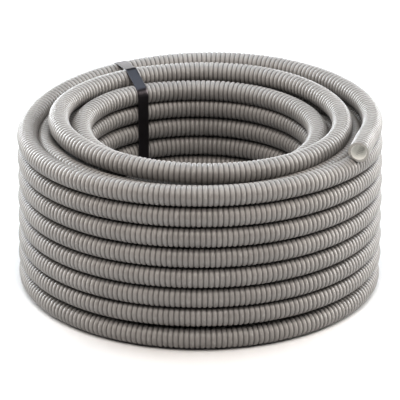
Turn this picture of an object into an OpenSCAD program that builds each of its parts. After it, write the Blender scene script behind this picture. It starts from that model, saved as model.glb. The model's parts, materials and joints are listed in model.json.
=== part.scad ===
// A neat coil of ribbed, liquidtight flexible conduit, lying on its end and held by one flat strap.
// The coil is one turned solid: its turns show as rings on the ends, on the outer wall and in the eye.
// The last turn climbs off the top ring, lies on the turn below it and ends in an open, square-cut mouth.
// The origin is on the coil's axis, on the plane that the coil lies on, with +Z up that axis.

/* [Conduit] */
// Outside diameter of the conduit, over the crests of its ribs
conduit_od = 21.1; // [18:0.1:24]
// Wall of the conduit, from its bore to the crests of its ribs
conduit_wall = 2.55; // [1.5:0.05:4]
// How far the ribs of turns that lie on each other sink into one another
rib_mesh = 1.4; // [0.8:0.1:2]

/* [Coil] */
// Outside diameter of the coil
coil_od = 366; // [330:1:440]
// Turns in the outer layer
outer_turns = 8; // [5:1:11]
// Space between one turn of the outer layer and the next
turn_gap = 0.2; // [0.1:0.05:0.8]
// How far the third layer's top turn stands above the outer layer's
third_layer_rise = 8; // [2:0.5:10]
// How far the inner layer's top turn lies below the outer layer's
inner_layer_drop = 4.5; // [0:0.5:6]
// Depth of the flat that the coil's weight presses on the bottom turns
floor_flat = 0.15; // [0.1:0.05:0.4]

/* [Free end] */
// Direction, round the coil's axis, in which the last turn starts to climb
climb_from = 72; // [60:1:110]
// Angle round the coil's axis that the last turn climbs through
climb_sweep = 86; // [70:1:110]
// Length of the straight stretch at the end
end_straight = 55; // [15:1:70]
// Angle of the climbing arc, back from the straight stretch, that is open inside
open_sweep = 30; // [10:1:50]

/* [Strap] */
// Width of the strap
strap_width = 12; // [8:0.5:19]
// Thickness of the strap
strap_thickness = 0.7; // [0.5:0.1:1.2]
// Direction of the strap round the coil's axis
strap_direction = 122; // [115:1:170]
// Space between the strap and the turns that it is drawn over
strap_clearance = 0.3; // [0.2:0.05:0.5]

/* [Hidden] */

CURVE_FACETS = 96;
STRAP_FACETS = 40;
conduit_r = conduit_od / 2;
bore_r = conduit_r - conduit_wall;

// The layers, from the outside in: the second is nested behind the first, half a turn higher
turn_pitch = conduit_od + turn_gap;
contact = conduit_od - rib_mesh;
nested_step = sqrt(contact * contact - turn_pitch * turn_pitch / 4);
outer_layer_r = coil_od / 2 - conduit_r;
second_layer_r = outer_layer_r - nested_step;
third_layer_r = second_layer_r - nested_step;
inner_layer_r = third_layer_r - conduit_od;

// Heights of the bottom and top turns' centre lines
bottom_z = conduit_r - floor_flat;
outer_top_z = bottom_z + (outer_turns - 1) * turn_pitch;
second_bottom_z = bottom_z + turn_pitch / 2;
second_top_z = outer_top_z - turn_pitch / 2;
third_top_z = outer_top_z + third_layer_rise;
inner_top_z = outer_top_z - inner_layer_drop;
inner_pitch = (inner_top_z - bottom_z) / (outer_turns - 1);

// The wound mass behind the turns that show reaches this far past their centre lines
mass_reach = conduit_od / 5;

// The strap lies this deep in the underside of the bottom turns
bed_depth = strap_thickness + strap_clearance;

// The straight end springs out a little from the turn below. The last turn leans so that its mouth
// lies on that turn, with their ribs sunk into one another
mouth_sweep = climb_sweep + atan(end_straight / outer_layer_r);
mouth_r = norm([outer_layer_r, end_straight]);
mouth_aside = mouth_r - outer_layer_r;
mouth_rise = sqrt(contact * contact - mouth_aside * mouth_aside);
climb_lean = asin(mouth_rise / (mouth_r * sin(mouth_sweep)));
// The climbing turn is a hair slimmer than the ring that it leaves, so that it starts inside it
climb_skin = 0.1;

// One turn of the conduit, seen in section
module turn(r, z) {
    translate([r, z])
        circle(r = conduit_r, $fn = CURVE_FACETS);
}

// The bottom and top turns of the layers, in section
module end_turns() {
    turn(outer_layer_r, bottom_z);
    turn(outer_layer_r, outer_top_z);
    turn(second_layer_r, second_bottom_z);
    turn(second_layer_r, second_top_z);
    turn(third_layer_r, bottom_z);
    turn(third_layer_r, third_top_z);
    turn(inner_layer_r, bottom_z);
    turn(inner_layer_r, inner_top_z);
}

// The coil's section: the turns that show and the wound mass behind them
module coil_section() {
    end_turns();
    for (i = [1 : outer_turns - 2]) {
        turn(outer_layer_r, bottom_z + i * turn_pitch);
        turn(inner_layer_r, bottom_z + i * inner_pitch);
    }
    polygon([
        [outer_layer_r + mass_reach, bottom_z],
        [outer_layer_r + mass_reach, outer_top_z],
        [second_layer_r, second_top_z + mass_reach],
        [third_layer_r, third_top_z],
        [inner_layer_r - mass_reach, inner_top_z],
        [inner_layer_r - mass_reach, bottom_z],
        [third_layer_r, bottom_z],
        [second_layer_r, second_bottom_z - mass_reach],
    ]);
}

// Places its children on the leaning plane of the last turn
module on_climb() {
    translate([0, 0, outer_top_z])
        rotate([0, 0, climb_from - 90])
            rotate([0, -climb_lean, 0])
                children();
}

// A round bar along the end of the last turn: the climbing arc's last stretch, then the straight end
module last_turn(r, sweep, past_mouth) {
    on_climb()
        rotate([0, 0, 90 - climb_sweep]) {
            rotate_extrude(angle = sweep, $fn = CURVE_FACETS)
                translate([outer_layer_r, 0])
                    circle(r = r, $fn = CURVE_FACETS);
            translate([outer_layer_r, 0, 0])
                rotate([90, 0, 0])
                    cylinder(r = r, h = end_straight + past_mouth, $fn = CURVE_FACETS);
        }
}

// The section of the strap's loop, drawn tight round the turns and through the bed under them
module strap_outline(stand_off) {
    offset(r = stand_off, $fn = STRAP_FACETS)
        hull()
            intersection() {
                end_turns();
                translate([0, bed_depth])
                    square([coil_od, third_top_z + conduit_od]);
            }
}

// The strap's bed: where the strap passes under the coil, the bottom turns give way to it
module strap_bed() {
    bed_width = strap_width + 2 * strap_clearance;
    rotate([0, 0, strap_direction])
        translate([0, -bed_width / 2, 0])
            cube([coil_od, bed_width, bed_depth]);
}

module conduit_coil() {
    color("darkgray")
        difference() {
            union() {
                rotate_extrude($fn = CURVE_FACETS)
                    coil_section();
                last_turn(conduit_r - climb_skin, climb_sweep, 0);
            }
            last_turn(bore_r, open_sweep, conduit_wall);
            translate([0, 0, -conduit_od])
                cylinder(d = coil_od + conduit_od, h = conduit_od, $fn = CURVE_FACETS);
            strap_bed();
        }
}

module strap() {
    color("black")
        rotate([0, 0, strap_direction])
            translate([0, strap_width / 2, 0])
                rotate([90, 0, 0])
                    linear_extrude(strap_width)
                        difference() {
                            strap_outline(strap_clearance + strap_thickness);
                            strap_outline(strap_clearance);
                        }
}

conduit_coil();
strap();
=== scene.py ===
"""A strapped coil of grey ribbed conduit, wound turn by turn and dressed for a studio picture.

Lengths are in metres and angles in degrees, unless a name says otherwise. Azimuths go round the
coil's axis from +X towards +Y, so the picture is taken from azimuth -90, and the conduit is wound
clockwise seen from above.
"""

import json
import logging
import math
from collections.abc import Iterable
from dataclasses import dataclass, field
from enum import Enum, IntEnum

import bmesh
import bpy
import numpy as np
from mathutils import Matrix, Vector


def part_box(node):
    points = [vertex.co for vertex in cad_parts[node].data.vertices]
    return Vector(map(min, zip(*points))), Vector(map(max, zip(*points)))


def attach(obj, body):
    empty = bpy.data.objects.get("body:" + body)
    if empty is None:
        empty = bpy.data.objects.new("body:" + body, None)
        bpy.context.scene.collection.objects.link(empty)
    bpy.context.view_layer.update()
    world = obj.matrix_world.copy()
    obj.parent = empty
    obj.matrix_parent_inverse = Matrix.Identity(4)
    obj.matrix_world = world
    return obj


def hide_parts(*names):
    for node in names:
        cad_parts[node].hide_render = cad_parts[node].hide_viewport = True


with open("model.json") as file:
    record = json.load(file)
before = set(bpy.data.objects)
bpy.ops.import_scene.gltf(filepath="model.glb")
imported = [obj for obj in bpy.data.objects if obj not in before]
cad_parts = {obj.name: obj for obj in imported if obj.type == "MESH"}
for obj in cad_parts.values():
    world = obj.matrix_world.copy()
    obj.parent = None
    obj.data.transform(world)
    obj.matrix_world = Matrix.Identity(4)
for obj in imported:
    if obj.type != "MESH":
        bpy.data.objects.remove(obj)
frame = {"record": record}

LOG = logging.getLogger("conduit_coil")
BODY = "root"
COIL_NODE = "conduit_coil"
STRAP_NODE = "strap"
MILLIMETRES = 1000.0
FULL_TURN = 360.0
RIGHT, BACK, LEFT = 0.0, 90.0, 180.0
ORIGIN = (0.0, 0.0, 0.0)
# What the meshes tell the finishes: how high a point stands on its rib, and how much painted shade it gets
# where the next turn lies against it
CREST = "crest"
PAINTED_CREVICE_SHADE = "painted_crevice_shade"
# The strap's map, along it and across it, and each point's distance along it
STRAP_MAP = "StrapRun"
STRAP_RUN = "run"
# Tones of the shared grain between which a finish changes
TONES = (0.3, 0.7)

Colour = tuple[float, float, float, float]
Term = bpy.types.NodeSocket | float | Colour
# A radius and a height, in a section through the coil's axis
Spot = tuple[float, float]
# Azimuths, each with a value there
Course = tuple[tuple[float, float], ...]


class ConduitEnd(Enum):
    """How a stretch of conduit ends."""

    JOINED = "butts against the next stretch"
    OPEN = "is cut square, with its bore showing"


class Surface(IntEnum):
    """The material slots of a stretch of conduit."""

    OUTSIDE = 0
    CUT_FACE = 1
    BORE = 2


class Socket(Enum):
    """The kinds of socket on a shader node group."""

    VALUE = "NodeSocketFloat"
    VECTOR = "NodeSocketVector"


def smooth_through(places: np.ndarray, values: np.ndarray, wanted: np.ndarray) -> np.ndarray:
    """Draw a smooth line through points, without overshooting them.

    Args:
        places: Rising places of the points.
        values: Their values.
        wanted: Places at which the line is read.

    Returns:
        The line's values there.
    """
    gaps = np.diff(places)
    slopes = np.diff(values) / gaps
    before, after = slopes[:-1], slopes[1:]
    same_way = before * after > 0.0
    near = 2.0 * gaps[1:] + gaps[:-1]
    far = gaps[1:] + 2.0 * gaps[:-1]
    safe_before, safe_after = np.where(same_way, before, 1.0), np.where(same_way, after, 1.0)
    inner = np.where(same_way, (near + far) / (near / safe_before + far / safe_after), 0.0)
    leans = np.concatenate(([0.0], inner, [0.0]))
    spot = np.clip(np.searchsorted(places, wanted, side="right") - 1, 0, len(gaps) - 1)
    share = (wanted - places[spot]) / gaps[spot]
    rest = 1.0 - share
    first = values[spot] * rest ** 2 * (1.0 + 2.0 * share)
    second = values[spot + 1] * share ** 2 * (1.0 + 2.0 * rest)
    bows = gaps[spot] * share * rest * (leans[spot] * rest - leans[spot + 1] * share)
    return first + second + bows


def mount_of(name: str) -> dict:
    """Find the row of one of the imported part's mounts in its record."""
    return next(m for m in frame["record"]["mounts"] if m["name"] == name)


def link_piece(name: str, data: bpy.types.ID) -> bpy.types.Object:
    """Put a mesh, a light or a camera into the scene, at the origin.

    Args:
        name: The new object's name.
        data: What it shows; a mesh is in the part's own frame.

    Returns:
        The new object.
    """
    piece = bpy.data.objects.new(name, data)
    bpy.context.scene.collection.objects.link(piece)
    return piece


def finished_mesh(shape: bmesh.types.BMesh, name: str) -> bpy.types.Mesh:
    """Turn a finished shape into a mesh, and free it.

    Args:
        shape: The shape.
        name: The mesh's name.

    Returns:
        The mesh.
    """
    mesh = bpy.data.meshes.new(name)
    shape.to_mesh(mesh)
    shape.free()
    return mesh


def pull_rim(shape: bmesh.types.BMesh, rim: list, shift: tuple[float, float, float], scale: float = 1.0,
             surface: Surface = Surface.OUTSIDE) -> list:
    """Extrude a rim of edges, and move or widen the new rim.

    Args:
        shape: The shape that the rim is on.
        rim: The rim's edges.
        shift: How far the new rim moves.
        scale: How much wider it gets round the X axis.
        surface: Material slot of the new faces.

    Returns:
        The new rim's edges.
    """
    made = bmesh.ops.extrude_edge_only(shape, edges=rim)["geom"]
    spots = [part for part in made if isinstance(part, bmesh.types.BMVert)]
    bmesh.ops.scale(shape, vec=(1.0, scale, scale), verts=spots)
    bmesh.ops.translate(shape, vec=shift, verts=spots)
    for face in made:
        if isinstance(face, bmesh.types.BMFace):
            face.material_index = surface
    moved = set(spots)
    return [part for part in made if isinstance(part, bmesh.types.BMEdge) and set(part.verts) <= moved]


def read_all(rows: bpy.types.bpy_prop_collection, what: str, kind: type, width: int = 1) -> np.ndarray:
    """Read a property of every vertex, corner or face of a mesh.

    Args:
        rows: The mesh's vertices, loops or polygons.
        what: The property's name.
        kind: Its kind of number.
        width: How many numbers it has.

    Returns:
        The numbers, in rows where there are more than one.
    """
    values = np.empty(len(rows) * width, kind)
    rows.foreach_get(what, values)
    return values.reshape(-1, width) if width > 1 else values


def note_points(mesh: bpy.types.Mesh, name: str, values: np.ndarray) -> None:
    """Keep a number with each vertex of a mesh."""
    mesh.attributes.new(name, "FLOAT", "POINT").data.foreach_set("value", values.astype(np.float32))


class NodeSheet:
    """Adds and joins the nodes of one shader tree."""

    def __init__(self, tree: bpy.types.NodeTree) -> None:
        """Keep the tree that the nodes go into."""
        self.tree = tree

    def add(self, kind: str, **settings: object) -> bpy.types.Node:
        """Add a node and set its own options.

        Args:
            kind: The node's type, without its ShaderNode prefix.
            settings: Options such as operation or data_type.

        Returns:
            The new node.
        """
        prefix = "" if kind.startswith("NodeGroup") else "ShaderNode"
        node = self.tree.nodes.new(prefix + kind)
        for option, value in settings.items():
            setattr(node, option, value)
        return node

    def join(self, source: bpy.types.NodeSocket, target: bpy.types.NodeSocket) -> None:
        """Link an output to an input."""
        self.tree.links.new(source, target)

    def math(self, operation: str, *terms: Term) -> bpy.types.NodeSocket:
        """Add a Math node.

        Args:
            operation: Blender's name of the operation.
            terms: Sockets or numbers, in the order of the node's inputs.

        Returns:
            The node's output.
        """
        node = self.add("Math", operation=operation)
        self._fill(node.inputs, terms)
        return node.outputs[0]

    def blend(self, share: Term, first: Term, second: Term) -> bpy.types.NodeSocket:
        """Mix two colours.

        Args:
            share: How much of the second colour shows, as a socket or a number.
            first: The first colour.
            second: The second colour.

        Returns:
            The mixed colour.
        """
        node = self.add("Mix", data_type="RGBA")
        self._fill((node.inputs[0], node.inputs[6], node.inputs[7]), (share, first, second))
        return node.outputs[2]

    def remap(self, value: Term, low: float, high: float, to_low: float,
              to_high: float) -> bpy.types.NodeSocket:
        """Map a range of values to another, held at both ends.

        Args:
            value: The socket to map.
            low: Value that becomes to_low.
            high: Value that becomes to_high.
            to_low: Result at low.
            to_high: Result at high.

        Returns:
            The mapped value.
        """
        node = self.add("MapRange")
        self._fill(node.inputs, (value, low, high, to_low, to_high))
        return node.outputs[0]

    def noise(self, place: bpy.types.NodeSocket, scale: Term, detail: float) -> bpy.types.NodeSocket:
        """Add a noise texture.

        Args:
            place: The coordinates that it reads.
            scale: Its scale, as a socket or a number.
            detail: Its octaves.

        Returns:
            The noise's value.
        """
        node = self.add("TexNoise")
        sockets = [node.inputs[title] for title in ("Vector", "Scale", "Detail")]
        self._fill(sockets, (place, scale, detail))
        return node.outputs["Fac"]

    def bump(self, height: bpy.types.NodeSocket, depth: float) -> bpy.types.NodeSocket:
        """Add a Bump node.

        Args:
            height: The relief that it reads.
            depth: How deep the relief is.

        Returns:
            The bumped normal.
        """
        node = self.add("Bump")
        node.inputs["Distance"].default_value = depth
        self.join(height, node.inputs["Height"])
        return node.outputs["Normal"]

    def _fill(self, inputs: Iterable[bpy.types.NodeSocket], terms: Iterable[Term]) -> None:
        """Link or set each input in turn.

        Args:
            inputs: The inputs.
            terms: A socket, number or colour for each of them.
        """
        for socket, term in zip(inputs, terms):
            if isinstance(term, bpy.types.NodeSocket):
                self.join(term, socket)
            else:
                socket.default_value = term


def start_material(name: str) -> tuple[bpy.types.Material, NodeSheet, bpy.types.Node]:
    """Start a material.

    Args:
        name: Its name.

    Returns:
        The material, the sheet of its nodes and its shader.
    """
    made = bpy.data.materials.new(name)
    made.use_nodes = True
    return made, NodeSheet(made.node_tree), made.node_tree.nodes["Principled BSDF"]


class SurfaceGrain:
    """The fine grain and cloudy tone of extruded plastic, as a node group that the finishes share."""

    NAME = "surface_grain"
    INPUTS = (("Place", Socket.VECTOR), ("Grain per metre", Socket.VALUE),
              ("Clouds per metre", Socket.VALUE))
    OUTPUTS = (("Height", Socket.VALUE), ("Tone", Socket.VALUE), ("Scuff", Socket.VALUE))
    GRAIN_OCTAVES = 4.0
    CLOUD_OCTAVES = 3.0
    STREAK_OCTAVES = 5.0
    STREAKS_A_CLOUD = 6.0
    GRAIN_SHARE = 0.35
    CLOUD_SHARE = 0.65
    # Where a streak starts to scuff the surface, and where it has scuffed it fully
    SCUFF_BAND = (0.58, 0.72)

    def __init__(self) -> None:
        """Build the group once."""
        self.tree = bpy.data.node_groups.new(self.NAME, "ShaderNodeTree")
        for way, sockets in (("INPUT", self.INPUTS), ("OUTPUT", self.OUTPUTS)):
            for title, kind in sockets:
                self.tree.interface.new_socket(title, in_out=way, socket_type=kind.value)
        sheet = NodeSheet(self.tree)
        given = sheet.add("NodeGroupInput").outputs
        result = sheet.add("NodeGroupOutput").inputs
        place, many = given["Place"], given["Clouds per metre"]
        grain = sheet.noise(place, given["Grain per metre"], self.GRAIN_OCTAVES)
        clouds = sheet.noise(place, many, self.CLOUD_OCTAVES)
        streaks = sheet.noise(place, sheet.math("MULTIPLY", many, self.STREAKS_A_CLOUD), self.STREAK_OCTAVES)
        cloudy = sheet.math("MULTIPLY", clouds, self.CLOUD_SHARE)
        sheet.join(grain, result["Height"])
        sheet.join(sheet.math("MULTIPLY_ADD", grain, self.GRAIN_SHARE, cloudy), result["Tone"])
        sheet.join(sheet.remap(streaks, *self.SCUFF_BAND, 0.0, 1.0), result["Scuff"])

    def place(self, sheet: NodeSheet, grain: float, clouds: float) -> bpy.types.bpy_prop_collection:
        """Put the group into a material, on the piece's own coordinates.

        Args:
            sheet: The material's nodes.
            grain: Grains for each metre.
            clouds: Clouds of tone for each metre.

        Returns:
            The outputs of the group's node.
        """
        node = sheet.add("Group", node_tree=self.tree)
        sheet.join(sheet.add("TexCoord").outputs["Object"], node.inputs["Place"])
        node.inputs["Grain per metre"].default_value = grain
        node.inputs["Clouds per metre"].default_value = clouds
        return node.outputs


@dataclass(frozen=True)
class PlasticFinish:
    """A satin plastic whose tone, gloss and grain change over its surface, with painted shade in its grooves
    and crevices and, where it glows, painted light.
    """

    name: str
    light: Colour
    dark: Colour
    scuffed: Colour
    # Painted shade in the grooves between the ribs, with some dust
    groove_shade_and_dust: Colour
    # Painted shade, laid where one turn lies against the next
    painted_crevice_shade: Colour = (0.075, 0.068, 0.063, 1.0)
    smooth: float = 0.36
    rough: float = 0.52
    grain: float = 900.0
    clouds: float = 26.0
    grain_height: float = 0.00006
    scuff_share: float = 0.35
    scuff_roughness: float = 0.12
    # How closely the scuffs keep to the crests of the ribs
    scuff_power: float = 6.0
    # How far up a rib the painted groove shade, with some dust, reaches
    groove_shade_reach: float = 0.75
    # Painted light: how strongly the finish glows in its own colour
    glow: float = 0.0

    def material(self, grain: SurfaceGrain) -> bpy.types.Material:
        """Build the finish.

        Args:
            grain: The grain that the plastics share.

        Returns:
            The material.
        """
        made, sheet, shader = start_material(self.name)
        relief = sheet.add("Attribute", attribute_name=CREST).outputs["Fac"]
        crevice_shade_share = sheet.add("Attribute", attribute_name=PAINTED_CREVICE_SHADE).outputs["Fac"]
        surface = grain.place(sheet, self.grain, self.clouds)
        worn = sheet.math("MULTIPLY", surface["Scuff"], sheet.math("POWER", relief, self.scuff_power))
        colour = sheet.blend(sheet.remap(surface["Tone"], *TONES, 0.0, 1.0), self.dark, self.light)
        colour = sheet.blend(sheet.math("MULTIPLY", worn, self.scuff_share), colour, self.scuffed)
        # Painted shade, with some dust, darkens the grooves towards their bottoms
        colour = sheet.blend(sheet.remap(relief, 0.0, self.groove_shade_reach, 1.0, 0.0), colour, self.groove_shade_and_dust)
        # Painted shade in the crevices where one turn lies against the next
        colour = sheet.blend(crevice_shade_share, colour, self.painted_crevice_shade)
        gloss = sheet.remap(surface["Tone"], *TONES, self.smooth, self.rough)
        sheet.join(colour, shader.inputs["Base Color"])
        sheet.join(sheet.math("MULTIPLY_ADD", worn, self.scuff_roughness, gloss), shader.inputs["Roughness"])
        sheet.join(sheet.bump(surface["Height"], self.grain_height), shader.inputs["Normal"])
        # Painted light: the finish glows in its own colour
        sheet.join(colour, shader.inputs["Emission Color"])
        shader.inputs["Emission Strength"].default_value = self.glow
        return made


@dataclass(frozen=True)
class StrapFinish:
    """Black strapping with a fine embossed waffle and paler rubbed edges."""

    name: str = "black_strapping"
    black: Colour = (0.004, 0.003, 0.004, 1.0)
    rubbed: Colour = (0.035, 0.033, 0.036, 1.0)
    # Distances from the strap's middle line between which it is rubbed more and more
    rub_band: tuple[float, float] = (0.0048, 0.0060)
    rub_share: float = 0.7
    scuff_share: float = 0.3
    smooth: float = 0.26
    rough: float = 0.36
    sheen: float = 1.0
    sheen_tint: Colour = (1.0, 0.89, 0.93, 1.0)
    gloss_coat: float = 0.5
    grain: float = 700.0
    grain_share: float = 0.5
    clouds: float = 60.0
    waffle_pitch: float = 0.0016
    waffle_height: float = 0.00002

    def material(self, grain: SurfaceGrain) -> bpy.types.Material:
        """Build the finish.

        Args:
            grain: The grain that the plastics share.

        Returns:
            The material.
        """
        made, sheet, shader = start_material(self.name)
        surface = grain.place(sheet, self.grain, self.clouds)
        run = sheet.add("SeparateXYZ")
        sheet.join(sheet.add("UVMap", uv_map=STRAP_MAP).outputs["UV"], run.inputs[0])
        beat = math.tau / self.waffle_pitch
        along = sheet.math("SINE", sheet.math("MULTIPLY", run.outputs["X"], beat))
        across = sheet.math("SINE", sheet.math("MULTIPLY", run.outputs["Y"], beat))
        waffle = sheet.math("MULTIPLY", along, across)
        rub = sheet.remap(sheet.math("ABSOLUTE", run.outputs["Y"]), *self.rub_band, 0.0, 1.0)
        worn = sheet.math("MULTIPLY", rub, surface["Tone"])
        scuffs = sheet.math("MULTIPLY", surface["Scuff"], self.scuff_share)
        pale = sheet.math("MULTIPLY_ADD", worn, self.rub_share, scuffs)
        gloss = sheet.remap(surface["Tone"], *TONES, self.smooth, self.rough)
        relief = sheet.math("MULTIPLY_ADD", surface["Height"], self.grain_share, waffle)
        sheet.join(sheet.blend(pale, self.black, self.rubbed), shader.inputs["Base Color"])
        sheet.join(gloss, shader.inputs["Roughness"])
        sheet.join(sheet.bump(relief, self.waffle_height), shader.inputs["Normal"])
        shader.inputs["Specular IOR Level"].default_value = self.sheen
        shader.inputs["Specular Tint"].default_value = self.sheen_tint
        shader.inputs["Coat Weight"].default_value = self.gloss_coat
        shader.inputs["Coat Roughness"].default_value = self.smooth
        return made


class WindingRoute:
    """The conduit's centre line round the coil's axis, drawn through knots."""

    STEP = 0.25
    # The waves in which the turns stray: how often, how far on and how much
    WAVES = ((1.13, 0.4, 1.0), (2.41, 1.9, 0.6))

    def __init__(self, azimuth: float, radius: float, height: float) -> None:
        """Start the route.

        Args:
            azimuth: Where the conduit starts.
            radius: Its distance from the coil's axis there.
            height: Its height there.
        """
        self.azimuth = azimuth
        self.knots = [(0.0, radius, height)]
        self.straight_from = math.inf

    @property
    def turned(self) -> float:
        """The winding angle of the last knot."""
        return self.knots[-1][0]

    def next_pass(self, azimuth: float) -> float:
        """The winding angle at which the route next passes an azimuth."""
        return self.turned + (self.azimuth - azimuth - self.turned) % FULL_TURN

    def go(self, azimuth: float, radius: float, height: float) -> None:
        """Follow the winding round to an azimuth, and to a radius and a height there."""
        self.knots.append((self.next_pass(azimuth), radius, height))

    def stay(self, azimuth: float) -> None:
        """Follow the present turn, level, round to an azimuth."""
        self.go(azimuth, self.knots[-1][1], self.knots[-1][2])

    def lay(self, end: float, wander: float) -> None:
        """Work out the centre line and the directions across it.

        Args:
            end: Winding angle at which the conduit ends.
            wander: How far the turns stray from true circles.
        """
        knots = np.array(self.knots)
        turned = np.linspace(0.0, end, int(end / self.STEP) + 1)
        azimuth = np.radians(self.azimuth - turned)
        phase = np.radians(turned)
        stray = sum(share * np.sin(often * phase + lead) for often, lead, share in self.WAVES)
        radius = smooth_through(knots[:, 0], knots[:, 1], turned)
        radius += wander * stray / sum(share for _, _, share in self.WAVES)
        radius /= np.cos(np.radians(np.clip(turned - self.straight_from, 0.0, None)))
        height = smooth_through(knots[:, 0], knots[:, 2], turned)
        self.angles = turned
        self.points = np.stack((radius * np.cos(azimuth), radius * np.sin(azimuth), height), axis=1)
        steps = np.linalg.norm(np.diff(self.points, axis=0), axis=1)
        self.run = np.concatenate(([0.0], np.cumsum(steps)))
        ahead = np.gradient(self.points, self.run, axis=0)
        ahead /= np.linalg.norm(ahead, axis=1, keepdims=True)
        outward = np.stack((np.cos(azimuth), np.sin(azimuth), np.zeros_like(azimuth)), axis=1)
        outward -= ahead * np.sum(outward * ahead, axis=1, keepdims=True)
        self.outward = outward / np.linalg.norm(outward, axis=1, keepdims=True)
        self.upward = np.cross(ahead, self.outward)

    @property
    def length(self) -> float:
        """The centre line's length."""
        return float(self.run[-1])

    def run_at(self, turned: float) -> float:
        """The distance along the centre line at a winding angle."""
        return float(np.interp(turned, self.angles, self.run))

    def at(self, run: np.ndarray, values: np.ndarray) -> np.ndarray:
        """Read vectors, given at each point of the centre line, at distances along it."""
        return np.stack([np.interp(run, self.run, values[:, axis]) for axis in range(3)], axis=1)

    def section(self, azimuth: float) -> list[Spot]:
        """Find the turns where they pass an azimuth.

        Args:
            azimuth: The azimuth.

        Returns:
            The radius and the height of each turn there.
        """
        first = (self.azimuth - azimuth) % FULL_TURN
        passes = np.arange(first, self.angles[-1], FULL_TURN)
        spots = self.at(np.interp(passes, self.angles, self.run), self.points)
        return [(math.hypot(x, y), z) for x, y, z in spots]


@dataclass(frozen=True)
class ConduitStock:
    """The ribbed conduit, as it is cut from the coil."""

    diameter: float = 0.0211
    wall: float = 0.00255
    rib_pitch: float = 0.00505
    rib_depth: float = 0.0011
    # Shares of the pitch and of the rib's depth, from one groove to the next
    rib_profile: tuple[tuple[float, float], ...] = (
        (0.0, 0.0), (0.13, 0.5), (0.28, 1.0), (0.72, 1.0), (0.87, 0.5), (1.0, 0.0))
    bore_depth: float = 0.060
    bore_ripple: float = 0.0010
    # Points that are nearer than this share of a pitch are one
    merge_share: float = 0.002

    @property
    def crest_radius(self) -> float:
        """Radius over the crests of the ribs."""
        return self.diameter / 2.0

    @property
    def groove_radius(self) -> float:
        """Radius at the bottom of the grooves."""
        return self.crest_radius - self.rib_depth

    @property
    def bore_radius(self) -> float:
        """Radius of the bore."""
        return self.crest_radius - self.wall

    def straight_length(self, ribs: int, pitch: float, sides: int,
                        ends: tuple[ConduitEnd, ConduitEnd]) -> bpy.types.Mesh:
        """Make a straight length along X that is cut through the crests of its first and last ribs.

        Args:
            ribs: Whole pitches in the length.
            pitch: Length of one rib.
            sides: Facets round the conduit.
            ends: How it ends at 0 and at its far end.

        Returns:
            The mesh, closed and pointing outwards.
        """
        rib = self._one_rib(pitch, sides)
        row = link_piece("rib_row", rib)
        array = row.modifiers.new("row", "ARRAY")
        array.count = ribs + 1
        array.use_relative_offset = False
        array.use_constant_offset = True
        array.constant_offset_displace = (pitch, 0.0, 0.0)
        array.use_merge_vertices = True
        array.merge_threshold = pitch * self.merge_share
        shape = bmesh.new()
        shape.from_object(row, bpy.context.evaluated_depsgraph_get())
        bpy.data.objects.remove(row)
        bpy.data.meshes.remove(rib)
        self._cut(shape, 0.0, -1.0, ends[0])
        self._cut(shape, ribs * pitch, 1.0, ends[1])
        bmesh.ops.recalc_face_normals(shape, faces=shape.faces)
        for face in shape.faces:
            face.smooth = True
        return finished_mesh(shape, "conduit")

    def _one_rib(self, pitch: float, sides: int) -> bpy.types.Mesh:
        """Spin the section of one rib, from groove to groove round the crest at 0.

        Args:
            pitch: Length of the rib.
            sides: Facets round the conduit.

        Returns:
            The rib's mesh, open at both ends.
        """
        shape = bmesh.new()
        spots = []
        for along, rise in self.rib_profile:
            spot = ((along - 0.5) * pitch, self.groove_radius + rise * self.rib_depth, 0.0)
            spots.append(shape.verts.new(spot))
        section = [shape.edges.new(pair) for pair in zip(spots, spots[1:])]
        bmesh.ops.spin(shape, geom=spots + section, cent=ORIGIN, axis=(1.0, 0.0, 0.0), dvec=ORIGIN,
                       angle=math.tau, steps=sides, use_merge=True)
        return finished_mesh(shape, "rib")

    def _cut(self, shape: bmesh.types.BMesh, place: float, way: float, end: ConduitEnd) -> None:
        """Cut the row of ribs square and finish the end.

        Args:
            shape: The row of ribs along X.
            place: Where the cut is.
            way: 1 for the far end and -1 for the near one.
            end: How it ends.
        """
        everything = list(shape.verts) + list(shape.edges) + list(shape.faces)
        made = bmesh.ops.bisect_plane(shape, geom=everything, dist=self.rib_pitch * self.merge_share,
                                      plane_co=(place, 0.0, 0.0), plane_no=(way, 0.0, 0.0), clear_outer=True)
        rim = [part for part in made["geom_cut"] if isinstance(part, bmesh.types.BMEdge)]
        for edge in rim:
            edge.smooth = False
        if end is ConduitEnd.JOINED:
            self._fill(shape, rim, Surface.CUT_FACE)
            return
        inner = pull_rim(shape, rim, ORIGIN, self.bore_radius / self.crest_radius, Surface.CUT_FACE)
        for edge in inner:
            edge.smooth = False
        narrower = (self.bore_radius - self.bore_ripple) / self.bore_radius
        inwards = (-way * self.rib_pitch / 2.0, 0.0, 0.0)
        for _ in range(int(self.bore_depth / self.rib_pitch)):
            for change in (narrower, 1.0 / narrower):
                inner = pull_rim(shape, inner, inwards, change, Surface.BORE)
        self._fill(shape, inner, Surface.BORE)

    @staticmethod
    def _fill(shape: bmesh.types.BMesh, rim: list, surface: Surface) -> None:
        """Close a rim with a face on one of the material slots."""
        for face in bmesh.ops.holes_fill(shape, edges=rim)["faces"]:
            face.material_index = surface


@dataclass(frozen=True)
class Stretch:
    """One named piece of the conduit between two ribs of its run."""

    name: str
    first_rib: int
    last_rib: int
    sides: int
    ends: tuple[ConduitEnd, ConduitEnd]


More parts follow.
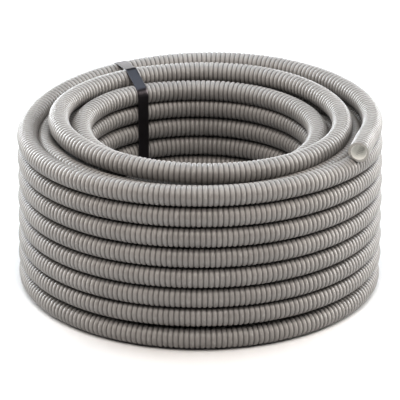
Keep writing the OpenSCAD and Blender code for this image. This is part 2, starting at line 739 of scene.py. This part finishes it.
@dataclass(frozen=True)
class StrapLine:
    """Where the strap crosses the coil: a little askew, as it was drawn tight."""

    azimuth: float
    eye_radius: float
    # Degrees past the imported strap's direction in the eye, and for each metre out from there
    lead: float = 0.4
    askew: float = -66.0
    width: float = 0.012
    bed_margin: float = 0.0003
    bed_depth: float = 0.0010

    def direction(self, radius: float | np.ndarray) -> float | np.ndarray:
        """The strap's azimuth at a radius, or at many."""
        return self.azimuth + self.lead + self.askew * (radius - self.eye_radius)

    def floor(self, spots: np.ndarray) -> np.ndarray:
        """The height of what lies under each point: the floor, or the strap on it.

        Args:
            spots: The points.

        Returns:
            A height for each of them.
        """
        radius = np.hypot(spots[:, 0], spots[:, 1])
        aside = np.radians(self.direction(radius)) - np.arctan2(spots[:, 1], spots[:, 0])
        across = radius * np.abs(np.sin(aside))
        bedded = (across < self.width / 2.0 + self.bed_margin) & (np.cos(aside) > 0.0)
        return np.where(bedded, self.bed_depth, 0.0)


@dataclass
class ConduitCoil:
    """The wound conduit: four layers of turns and the third layer's raised top turn."""

    stock: ConduitStock
    strap_line: StrapLine
    levels: int = 8
    turn_gap: float = 0.0002
    rib_mesh: float = 0.0014
    wander: float = 0.0004
    outer_start: float = -20.0
    # Heights of the outer layer's turns: in front, on the left, and from the first one up at the sides
    front_heights: tuple[float, ...] = (0.01055, 0.0344, 0.0544, 0.0756, 0.0969, 0.1183, 0.1396, 0.1611)
    left_heights: tuple[float, ...] = (0.01055, 0.0312, 0.0504, 0.0704, 0.0909, 0.1123, 0.1336, 0.1551)
    right_pitch: float = 0.0197
    back_start: float = 0.0153
    back_pitch: float = 0.0210
    # How far each turn has risen between the right and the front
    front_climb: Course = ((-30.0, 0.62), (-60.0, 0.92), (-90.0, 1.0))
    # The last turn's heights on its way to the mouth
    last_turn: Course = (
        (135.0, 0.1594), (90.0, 0.1640), (60.0, 0.1660), (30.0, 0.1672), (0.0, 0.1690), (-14.0, 0.1714))
    # How far the mouth has settled, outwards and down, on to the turn below it
    mouth_settled: tuple[float, float] = (0.0022, 0.0024)
    second_top_radius: float = 0.1528
    second_top: Course = ((20.0, 0.1512), (-30.0, 0.1522), (-90.0, 0.1530), (-150.0, 0.1532), (180.0, 0.1487))
    # Where the second layer drops from turn to turn: the lowest drop's azimuth, and the step to the next
    drop_from: tuple[float, float] = (60.0, 18.0)
    drop_to: tuple[float, float] = (-30.0, 20.0)
    second_end: float = 70.0
    # Where the third layer starts, climbs from turn to turn and ends
    third_start: float = -100.0
    third_climb: tuple[float, float] = (70.0, 10.0)
    third_end: float = 100.0
    third_pitch: float = 0.0221
    raised_radius: float = 0.1414
    # How far the raised turn lies to the right of the others
    raised_shift: float = 0.0006
    # The raised turn's heights, from under the strap round to it again
    raised_turn: Course = (
        (122.0, 0.1657), (105.0, 0.1646), (80.0, 0.1651), (50.0, 0.1659), (25.0, 0.1657), (0.0, 0.1663),
        (-45.0, 0.1686), (-90.0, 0.1715), (-135.0, 0.1730), (180.0, 0.1715), (150.0, 0.1680))
    inner_start: float = -125.0
    inner_drop: float = 0.0045
    # How far the inner layer's turns stray from level: the top one, and the ones below it, less each time
    inner_top_lifts: Course = (
        (180.0, 0.0052), (140.0, 0.0030), (90.0, -0.0011), (45.0, -0.0008), (0.0, 0.0), (-40.0, -0.0010))
    inner_lifts: Course = (
        (180.0, 0.0060), (140.0, 0.0045), (90.0, 0.0018), (45.0, 0.0012), (0.0, 0.0), (-40.0, -0.0010))
    # The turns get painted shade where they are nearer to each other than this
    crevice_shade_reach: float = 0.0022
    shown_sides: int = 16
    hidden_sides: int = 12
    # The map's columns of ribs, the share of it that they take, and the margin in each of them
    map_columns: int = 10
    map_share: float = 0.94
    map_margin: float = 0.02
    # Where the cut faces start in the rest of the map, and how fast they and the bore go across it
    end_map: tuple[float, float] = (0.1, 0.45)
    path_step: float = 7.5
    pieces: list[bpy.types.Object] = field(default_factory=list)

    def __post_init__(self) -> None:
        """Take the coil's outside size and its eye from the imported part."""
        self.outer_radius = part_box(COIL_NODE)[1].x - self.stock.crest_radius - self.wander
        contact = self.stock.diameter - self.rib_mesh
        self.outer_pitch = self.stock.diameter + self.turn_gap
        step = math.sqrt(contact ** 2 - self.outer_pitch ** 2 / 4.0)
        self.second_radius = self.outer_radius - step
        self.third_radius = self.second_radius - step
        self.inner_radius = self.strap_line.eye_radius + self.stock.crest_radius
        self.bottom = self.stock.crest_radius
        outer_top = self.bottom + (self.levels - 1) * self.outer_pitch
        self.inner_pitch = (outer_top - self.inner_drop - self.bottom) / (self.levels - 1)

    def wind(self) -> None:
        """Lay the route of the whole conduit, from the inner end out to the mouth."""
        start = self.bottom + (self.levels - 1) * self.inner_pitch + self.inner_top_lifts[0][1]
        self.route = WindingRoute(self.inner_start, self.inner_radius, start)
        self.marks: list[float] = []
        self._wind_inner()
        self._wind_middle()
        self._wind_outer()
        self._finish_at_mouth()
        self._wind_raised()

    def _wind_inner(self) -> None:
        """Wind the inner layer down to the floor, a little askew."""
        top = self.levels - 1
        for level in reversed(range(self.levels)):
            height = self.bottom + level * self.inner_pitch
            for azimuth, lift in self.inner_top_lifts if level == top else self.inner_lifts:
                self.route.go(azimuth, self.inner_radius, height + lift * level / top)
        self.marks.append(self.route.turned)

    def _wind_middle(self) -> None:
        """Wind the third layer up inside the coil, and the second one down again outside it."""
        route = self.route
        route.go(self.third_start, self.third_radius, self.bottom)
        leaves, lands = self.third_climb
        for level in range(1, self.levels - 1):
            route.stay(leaves)
            route.go(lands, self.third_radius, self.bottom + level * self.third_pitch)
        route.stay(self.third_end)
        self.marks.append(route.turned)
        for azimuth, height in self.second_top:
            route.go(azimuth, self.second_top_radius, height)
        (leaves, leaves_step), (lands, lands_step) = self.drop_from, self.drop_to
        nested = self.bottom + self.outer_pitch / 2.0
        for level in reversed(range(self.levels - 2)):
            route.stay(leaves + leaves_step * level)
            route.go(lands + lands_step * level, self.second_radius, nested + level * self.outer_pitch)
        route.stay(self.second_end)
        self.marks.append(route.turned)

    def _wind_outer(self) -> None:
        """Wind the outer layer up, with the turns as high as they lie on each side."""
        self._go_outer(self.outer_start, self.bottom)
        for level in range(self.levels):
            right = self.bottom + level * self.right_pitch
            rise = self.front_heights[level] - right
            for azimuth, share in self.front_climb:
                self._go_outer(azimuth, right + share * rise)
            self._go_outer(LEFT, self.left_heights[level])
            if level == self.levels - 1:
                return
            self._go_outer(BACK, self.back_start + level * self.back_pitch)
            if level == self.levels // 2:
                self.marks.append(self.route.turned)
            self._go_outer(RIGHT, self.bottom + (level + 1) * self.right_pitch)

    def _go_outer(self, azimuth: float, height: float) -> None:
        """Follow the outer wall round to an azimuth and a height."""
        self.route.go(azimuth, self.outer_radius, height)

    def _finish_at_mouth(self) -> None:
        """Let the last turn climb on to the one below it and end, straightened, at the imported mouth."""
        mount = mount_of("conduit_mouth")
        x, y, z = mount["pos_m"]
        for azimuth, height in self.last_turn:
            self._go_outer(azimuth, height)
        straight = math.degrees(math.atan(mount["dims"]["length_mm"] / MILLIMETRES / self.outer_radius))
        outward, down = self.mouth_settled
        radius = (math.hypot(x, y) + outward) * math.cos(math.radians(straight))
        self.route.go(math.degrees(math.atan2(y, x)), radius, z - down)
        end = self.route.turned
        self.route.straight_from = end - straight
        self.route.lay(end, self.wander)

    def _wind_raised(self) -> None:
        """Lay the raised turn, which closes under the strap."""
        azimuth, height = self.raised_turn[0]
        ring = WindingRoute(azimuth, self._raised_reach(azimuth), height)
        for there, risen in self.raised_turn[1:]:
            ring.go(there, self._raised_reach(there), risen)
        ring.knots.append((FULL_TURN, self._raised_reach(azimuth), height))
        ring.lay(FULL_TURN, 0.0)
        self.raised_ring = ring

    def _raised_reach(self, azimuth: float) -> float:
        """The raised turn's distance from the coil's axis at an azimuth."""
        return self.raised_radius + self.raised_shift * math.cos(math.radians(azimuth))

    def stretches(self) -> list[Stretch]:
        """Divide the conduit into its layers, at whole ribs.

        Returns:
            The stretches, from the inner end to the mouth.
        """
        parts = (("conduit_inner_layer", self.shown_sides), ("conduit_third_layer", self.hidden_sides),
                 ("conduit_second_layer", self.hidden_sides), ("conduit_outer_layer_low", self.shown_sides),
                 ("conduit_outer_layer_high", self.shown_sides))
        ribs = round(self.route.length / self.stock.rib_pitch)
        self.pitch = self.route.length / ribs
        cuts = [0] + [round(self.route.run_at(mark) / self.pitch) for mark in self.marks] + [ribs]
        made = []
        for index, (name, sides) in enumerate(parts):
            first = ConduitEnd.OPEN if index == 0 else ConduitEnd.JOINED
            last = ConduitEnd.OPEN if index == len(parts) - 1 else ConduitEnd.JOINED
            made.append(Stretch(name, cuts[index], cuts[index + 1], sides, (first, last)))
        return made

    def build(self) -> None:
        """Make every stretch of the conduit and the raised turn."""
        self.wind()
        for stretch in self.stretches():
            self._make(stretch, self.route, self.pitch)
        ribs = round(self.raised_ring.length / self.stock.rib_pitch)
        joined = (ConduitEnd.JOINED, ConduitEnd.JOINED)
        raised = Stretch("conduit_raised_turn", 0, ribs, self.shown_sides, joined)
        self._make(raised, self.raised_ring, self.raised_ring.length / ribs)

    def _make(self, stretch: Stretch, route: WindingRoute, pitch: float) -> None:
        """Args:
            stretch: The stretch.
            route: The centre line that it follows.
            pitch: Length of one rib.
        """
        ribs = stretch.last_rib - stretch.first_rib
        start = stretch.first_rib * pitch
        mesh = self.stock.straight_length(ribs, pitch, stretch.sides, stretch.ends)
        mesh.name = stretch.name
        self._map(mesh, ribs, pitch)
        self._bend(mesh, route, start)
        piece = link_piece(stretch.name, mesh)
        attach(piece, BODY)
        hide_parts(COIL_NODE)
        self.pieces.append(piece)

    def _map(self, mesh: bpy.types.Mesh, ribs: int, pitch: float) -> None:
        """Unroll a straight length into columns of ribs on its map, and note how high each point stands.

        Args:
            mesh: The straight length.
            ribs: Whole ribs in it.
            pitch: Length of one rib.
        """
        stock = self.stock
        spots = read_all(mesh.vertices, "co", np.float32, 3)
        reach = np.hypot(spots[:, 1], spots[:, 2])
        note_points(mesh, CREST, np.clip((reach - stock.groove_radius) / stock.rib_depth, 0.0, 1.0))
        centres = read_all(mesh.polygons, "center", np.float32, 3)
        corners = read_all(mesh.polygons, "loop_total", np.int32)
        kinds = read_all(mesh.polygons, "material_index", np.int32)
        vertex = read_all(mesh.loops, "vertex_index", np.int32)
        owner = np.repeat(np.arange(len(centres)), corners)
        middle = np.arctan2(centres[:, 2], centres[:, 1])[owner]
        angle = np.arctan2(spots[vertex, 2], spots[vertex, 1])
        angle = middle + (angle - middle + np.pi) % math.tau - np.pi
        turn = angle / math.tau + 0.5
        rows = math.ceil((ribs + 1) / self.map_columns)
        rib = np.floor(centres[:, 0] / pitch + 0.5)[owner]
        inset = self.map_margin + (1.0 - 2.0 * self.map_margin) * turn
        across = (rib // rows + inset) * self.map_share / self.map_columns
        along = (rib % rows + spots[vertex, 0] / pitch + 0.5 - rib) / rows
        inside = kinds[owner] != Surface.OUTSIDE
        depth = np.minimum(spots[vertex, 0], ribs * pitch - spots[vertex, 0]) / stock.bore_depth
        depth += (stock.crest_radius - reach[vertex]) / stock.crest_radius
        first, rate = self.end_map
        end_across = self.map_share + (1.0 - self.map_share) * np.clip(first + rate * depth, 0.0, 1.0)
        flat = np.stack((np.where(inside, end_across, across), np.where(inside, turn, along)), axis=1)
        layer = mesh.uv_layers.new(name="OFBake")
        layer.data.foreach_set("uv", flat.astype(np.float32).ravel())

    def _bend(self, mesh: bpy.types.Mesh, route: WindingRoute, start: float) -> None:
        """Bend a straight length along its route, pressed flat on the floor and on the strap.

        Args:
            mesh: The straight length, along X.
            route: The centre line.
            start: Where the length starts along that line.
        """
        spots = read_all(mesh.vertices, "co", np.float32, 3).astype(float)
        run = start + spots[:, 0]
        bent = route.at(run, route.points)
        bent += spots[:, 1:2] * route.at(run, route.outward) + spots[:, 2:3] * route.at(run, route.upward)
        bent[:, 2] = np.maximum(bent[:, 2], self.strap_line.floor(bent))
        mesh.vertices.foreach_set("co", bent.astype(np.float32).ravel())
        mesh.update()
        # Note how much painted shade each point gets from the turns beside it
        note_points(mesh, PAINTED_CREVICE_SHADE, self._crevice_shade_shares(bent, route, run))

    def _crevice_shade_shares(self, bent: np.ndarray, route: WindingRoute, run: np.ndarray) -> np.ndarray:
        """Find the points that are shut in between one turn and the next, where shade is painted.

        Args:
            bent: The points.
            route: The centre line that they lie along.
            run: Their distances along it.

        Returns:
            A share of painted shade for each point, from 0 in the open to 1 where the next turn touches it.
        """
        turned = np.interp(run, route.run, route.angles)
        crevice_shade_share = np.zeros(len(bent))
        for step in (-FULL_TURN, FULL_TURN):
            there = turned + step
            centre = route.at(np.interp(there, route.angles, route.run), route.points)
            gap = np.linalg.norm(bent - centre, axis=1) - self.stock.crest_radius
            share = np.clip(1.0 - gap / self.crevice_shade_reach, 0.0, 1.0)
            inside = (there >= 0.0) & (there <= route.angles[-1])
            crevice_shade_share = np.maximum(crevice_shade_share, np.where(inside, share, 0.0))
        return crevice_shade_share

    def dress(self, outside: bpy.types.Material, cut: bpy.types.Material, bore: bpy.types.Material) -> None:
        """Give every stretch its materials, in the order of their slots.

        Args:
            outside: The ribbed outside's.
            cut: The cut faces', paler than the wall as painted light.
            bore: The bore's, which glows as painted light.
        """
        for piece in self.pieces:
            for material in (outside, cut, bore):
                piece.data.materials.append(material)


@dataclass
class Strap:
    """The flat strap that is drawn tight round the coil's section."""

    coil: ConduitCoil
    line: StrapLine
    thickness: float = 0.0007
    clearance: float = 0.0002
    arc_step: float = 9.0
    strips: int = 6
    edge_round: float = 0.00018
    edge_segments: int = 2
    edge_angle: float = 60.0

    def centres(self) -> list[Spot]:
        """Find the turns that the strap is drawn over.

        Returns:
            The radius and the height of each of them, anticlockwise.
        """
        azimuth = self.line.azimuth
        turns = sorted(self.coil.route.section(azimuth) + self.coil.raised_ring.section(azimuth))
        return self._hull(turns) + self._hull(turns[::-1])

    @staticmethod
    def _turn(first: Spot, second: Spot, third: Spot) -> float:
        """Twice the area of a triangle, which is positive for a left turn."""
        (out, up), (far_out, far_up) = np.subtract(second, first), np.subtract(third, first)
        return out * far_up - up * far_out

    def _hull(self, spots: list[Spot]) -> list[Spot]:
        """Keep the corners of one side of the hull.

        Args:
            spots: The turns, sorted by their radius.

        Returns:
            The corners, without the last, which starts the other side.
        """
        kept: list[Spot] = []
        for spot in spots:
            while len(kept) > 1 and self._turn(kept[-2], kept[-1], spot) <= 0.0:
                kept.pop()
            kept.append(spot)
        return kept[:-1]

    def loop(self) -> list[Spot]:
        """The strap's middle line: an arc round each corner turn, joined by straight runs.

        Returns:
            Points as radius and height, anticlockwise.
        """
        corners = self.centres()
        reach = self.coil.stock.crest_radius + self.clearance + self.thickness / 2.0
        points = []
        for index, (radius, height) in enumerate(corners):
            before = corners[index - 1]
            after = corners[(index + 1) % len(corners)]
            start = math.atan2(height - before[1], radius - before[0]) - math.pi / 2.0
            stop = math.atan2(after[1] - height, after[0] - radius) - math.pi / 2.0
            sweep = (stop - start) % math.tau
            steps = max(1, math.ceil(math.degrees(sweep) / self.arc_step))
            for step in range(steps + 1):
                angle = start + sweep * step / steps
                lifted = max(height + reach * math.sin(angle), self.thickness / 2.0)
                points.append((radius + reach * math.cos(angle), lifted))
        return points

    def build(self) -> None:
        """Make the strap and put it in the CAD strap's place."""
        shape = bmesh.new()
        round_coil = self._draw(shape)
        self._unroll(shape, round_coil)
        for spot in shape.verts:
            turn = Matrix.Rotation(math.radians(self.line.direction(spot.co.x)), 3, "Z")
            bmesh.ops.rotate(shape, cent=ORIGIN, verts=[spot], matrix=turn)
        mesh = finished_mesh(shape, "drawn_strap")
        self.piece = link_piece("drawn_strap", mesh)
        edges = self.piece.modifiers.new("edges", "BEVEL")
        edges.width = self.edge_round
        edges.segments = self.edge_segments
        edges.limit_method = "ANGLE"
        edges.angle_limit = math.radians(self.edge_angle)
        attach(self.piece, BODY)
        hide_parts(STRAP_NODE)
        LOG.info("drawn_strap: %.0f mm round, %d faces", round_coil * MILLIMETRES, len(mesh.polygons))

    def _draw(self, shape: bmesh.types.BMesh) -> float:
        """Draw the strap as a closed band round the Y axis, and note the distance along it.

        Args:
            shape: The shape that the band is made in.

        Returns:
            The band's whole length.
        """
        distance = shape.verts.layers.float.new(STRAP_RUN)
        points = self.loop()
        spots = []
        run = 0.0
        for index, (radius, height) in enumerate(points):
            run += math.dist(points[index - 1], (radius, height)) if index else 0.0
            spot = shape.verts.new((radius, -self.line.width / 2.0, height))
            spot[distance] = run
            spots.append(spot)
        rim = [shape.edges.new(pair) for pair in zip(spots, spots[1:] + spots[:1])]
        for _ in range(self.strips):
            rim = pull_rim(shape, rim, (0.0, self.line.width / self.strips, 0.0))
        bmesh.ops.recalc_face_normals(shape, faces=shape.faces)
        bmesh.ops.solidify(shape, geom=list(shape.faces), thickness=self.thickness)
        bmesh.ops.recalc_face_normals(shape, faces=shape.faces)
        return run + math.dist(points[-1], points[0])

    @staticmethod
    def _unroll(shape: bmesh.types.BMesh, total: float) -> None:
        """Lay the strap's map, along the band and across it.

        Args:
            shape: The band.
            total: Its whole length.
        """
        distance = shape.verts.layers.float[STRAP_RUN]
        laid = shape.loops.layers.uv.new(STRAP_MAP)
        for face in shape.faces:
            face.smooth = True
            runs = [corner.vert[distance] for corner in face.loops]
            wraps = max(runs) - min(runs) > total / 2.0
            for corner, run in zip(face.loops, runs):
                lap = total if wraps and run < total / 2.0 else 0.0
                corner[laid].uv = (run + lap, corner.vert.co.y)

    def dress(self, finish: bpy.types.Material) -> None:
        """Give the strap its material."""
        self.piece.data.materials.append(finish)


@dataclass(frozen=True)
class Softbox:
    """A soft light, with its power in watts."""

    name: str
    place: tuple[float, float, float]
    size: tuple[float, float]
    power: float
    colour: tuple[float, float, float]

    def hang(self, aim: Vector) -> None:
        """Hang the light.

        Args:
            aim: The point that it faces.
        """
        data = bpy.data.lights.new(self.name, "AREA")
        data.shape = "RECTANGLE"
        data.size, data.size_y = self.size
        data.energy = self.power
        data.color = self.colour
        light = link_piece(self.name, data)
        light.location = self.place
        light.rotation_euler = (aim - Vector(self.place)).to_track_quat("-Z", "Y").to_euler()


@dataclass
class Studio:
    """The pale floor, the soft light and the picture's camera."""

    distance: float = 4.22
    elevation: float = 23.33
    picture: float = 400.0
    pixels_per_metre: float = 995.3
    aim_height: float = 0.0844
    aim_pixel: tuple[float, float] = (199.9, 198.6)
    sensor: float = 36.0
    view_reach: float = 100.0
    floor_size: float = 8.0
    floor_tone: Colour = (0.70, 0.70, 0.70, 1.0)
    floor_roughness: float = 0.9
    floor_sheen: float = 0.1
    # Distances from the coil between which the floor fades into the surround
    floor_fade: tuple[float, float] = (1.1, 3.2)
    # How strong the surround is as light, and as the camera sees it
    air: float = 0.01
    surround: float = 1.0
    white: Colour = (1.0, 1.0, 1.0, 1.0)
    contrast: float = 0.7
    lights: tuple[Softbox, ...] = (
        Softbox("top_softbox", (0.1, 0.6, 1.8), (1.6, 1.6), 17.2, (0.76, 0.885, 1.0)),
        Softbox("front_softbox", (0.0, -1.0, 1.7), (1.4, 1.4), 37.0, (1.0, 0.95, 0.915)),
        Softbox("back_softbox", (-0.15, 2.0, 0.4), (1.2, 0.6), 4.4, (1.0, 1.0, 1.0)),
        Softbox("left_softbox", (-1.7, 0.2, 0.8), (1.4, 1.4), 26.6, (1.0, 0.975, 0.95)),
        Softbox("right_softbox", (1.7, 0.2, 0.8), (1.4, 1.4), 37.3, (1.0, 0.975, 0.95)),
        Softbox("back_left_softbox", (-1.3, 1.4, 0.8), (1.2, 1.2), 43.1, (0.87, 0.94, 1.0)),
        Softbox("back_right_softbox", (1.3, 1.4, 0.8), (1.2, 1.2), 28.4, (0.87, 0.94, 1.0)))

    def camera(self) -> None:
        """Set the camera at the photograph's viewing angle."""
        data = bpy.data.cameras.new("picture_camera")
        data.sensor_width = self.sensor
        data.lens = self.sensor * self.pixels_per_metre * self.distance / self.picture
        data.clip_end = self.view_reach
        camera = link_piece("picture_camera", data)
        rise = math.radians(self.elevation)
        back = Vector((0.0, -math.cos(rise), math.sin(rise)))
        up = Vector((0.0, math.sin(rise), math.cos(rise)))
        middle = self.picture / 2.0
        aside = (middle - self.aim_pixel[0]) / self.pixels_per_metre
        above = (self.aim_pixel[1] - middle) / self.pixels_per_metre
        aim = Vector((aside, 0.0, self.aim_height)) + up * above
        camera.location = aim + back * self.distance
        camera.rotation_euler = (math.pi / 2.0 - rise, 0.0, 0.0)
        bpy.context.scene.camera = camera

    def floor(self) -> None:
        """Lay the pale floor."""
        shape = bmesh.new()
        bmesh.ops.create_grid(shape, x_segments=1, y_segments=1, size=self.floor_size / 2.0)
        mesh = finished_mesh(shape, "studio_floor")
        made, sheet, shader = start_material("studio_floor")
        shader.inputs["Base Color"].default_value = self.floor_tone
        shader.inputs["Roughness"].default_value = self.floor_roughness
        shader.inputs["Specular IOR Level"].default_value = self.floor_sheen
        away = sheet.add("VectorMath", operation="LENGTH")
        sheet.join(sheet.add("TexCoord").outputs["Object"], away.inputs[0])
        sheet.join(sheet.remap(away.outputs["Value"], *self.floor_fade, 1.0, 0.0), shader.inputs["Alpha"])
        mesh.materials.append(made)
        link_piece("studio_floor", mesh)

    def light(self) -> None:
        """Light the coil in a pale surround, most of all from its sides and from behind them."""
        world = bpy.data.worlds.new("studio_air")
        world.use_nodes = True
        sky = world.node_tree.nodes["Background"]
        sky.inputs["Color"].default_value = self.white
        sheet = NodeSheet(world.node_tree)
        seen = sheet.add("LightPath").outputs["Is Camera Ray"]
        glow = sheet.math("MULTIPLY_ADD", seen, self.surround - self.air, self.air)
        sheet.join(glow, sky.inputs["Strength"])
        bpy.context.scene.world = world
        for softbox in self.lights:
            softbox.hang(Vector((0.0, 0.0, self.aim_height)))
        display = bpy.context.scene.view_settings
        display.view_transform = "Standard"
        display.gamma = self.contrast


VINYL = PlasticFinish("conduit_vinyl", light=(0.355, 0.341, 0.328, 1.0), dark=(0.295, 0.283, 0.272, 1.0),
                      scuffed=(0.50, 0.49, 0.48, 1.0), groove_shade_and_dust=(0.145, 0.138, 0.131, 1.0),
                      smooth=0.30, rough=0.44)
# The cut faces are paler than the wall: painted light, so that the cut end looks lit
CUT_VINYL_PAINTED_LIGHT = PlasticFinish("cut_vinyl_painted_light", light=(0.49, 0.48, 0.455, 1.0), dark=(0.42, 0.41, 0.39, 1.0),
                          scuffed=(0.52, 0.51, 0.49, 1.0), groove_shade_and_dust=(0.46, 0.45, 0.43, 1.0),
                          smooth=0.5, rough=0.7, grain=1500.0)
# The bore glows in its own colour: painted light inside the bore
BORE_VINYL_PAINTED_LIGHT = PlasticFinish("bore_vinyl_painted_light", light=(0.44, 0.435, 0.414, 1.0), dark=(0.40, 0.395, 0.375, 1.0),
                           scuffed=(0.46, 0.45, 0.43, 1.0), groove_shade_and_dust=(0.42, 0.415, 0.394, 1.0), glow=0.66)


def main() -> None:
    """Build the studio and the coil, in order."""
    logging.basicConfig(level=logging.INFO, format="%(message)s")
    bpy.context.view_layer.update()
    studio = Studio()
    studio.camera()
    low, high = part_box(STRAP_NODE)
    azimuth = math.degrees(math.atan2(low.y + high.y, low.x + high.x))
    line = StrapLine(azimuth, mount_of("coil_eye")["dims"]["r_mm"] / MILLIMETRES)
    coil = ConduitCoil(ConduitStock(), line)
    coil.build()
    strap = Strap(coil, line)
    strap.build()
    grain = SurfaceGrain()
    coil.dress(VINYL.material(grain), CUT_VINYL_PAINTED_LIGHT.material(grain), BORE_VINYL_PAINTED_LIGHT.material(grain))
    strap.dress(StrapFinish().material(grain))
    studio.floor()
    studio.light()


if __name__ == "__main__":
    main()
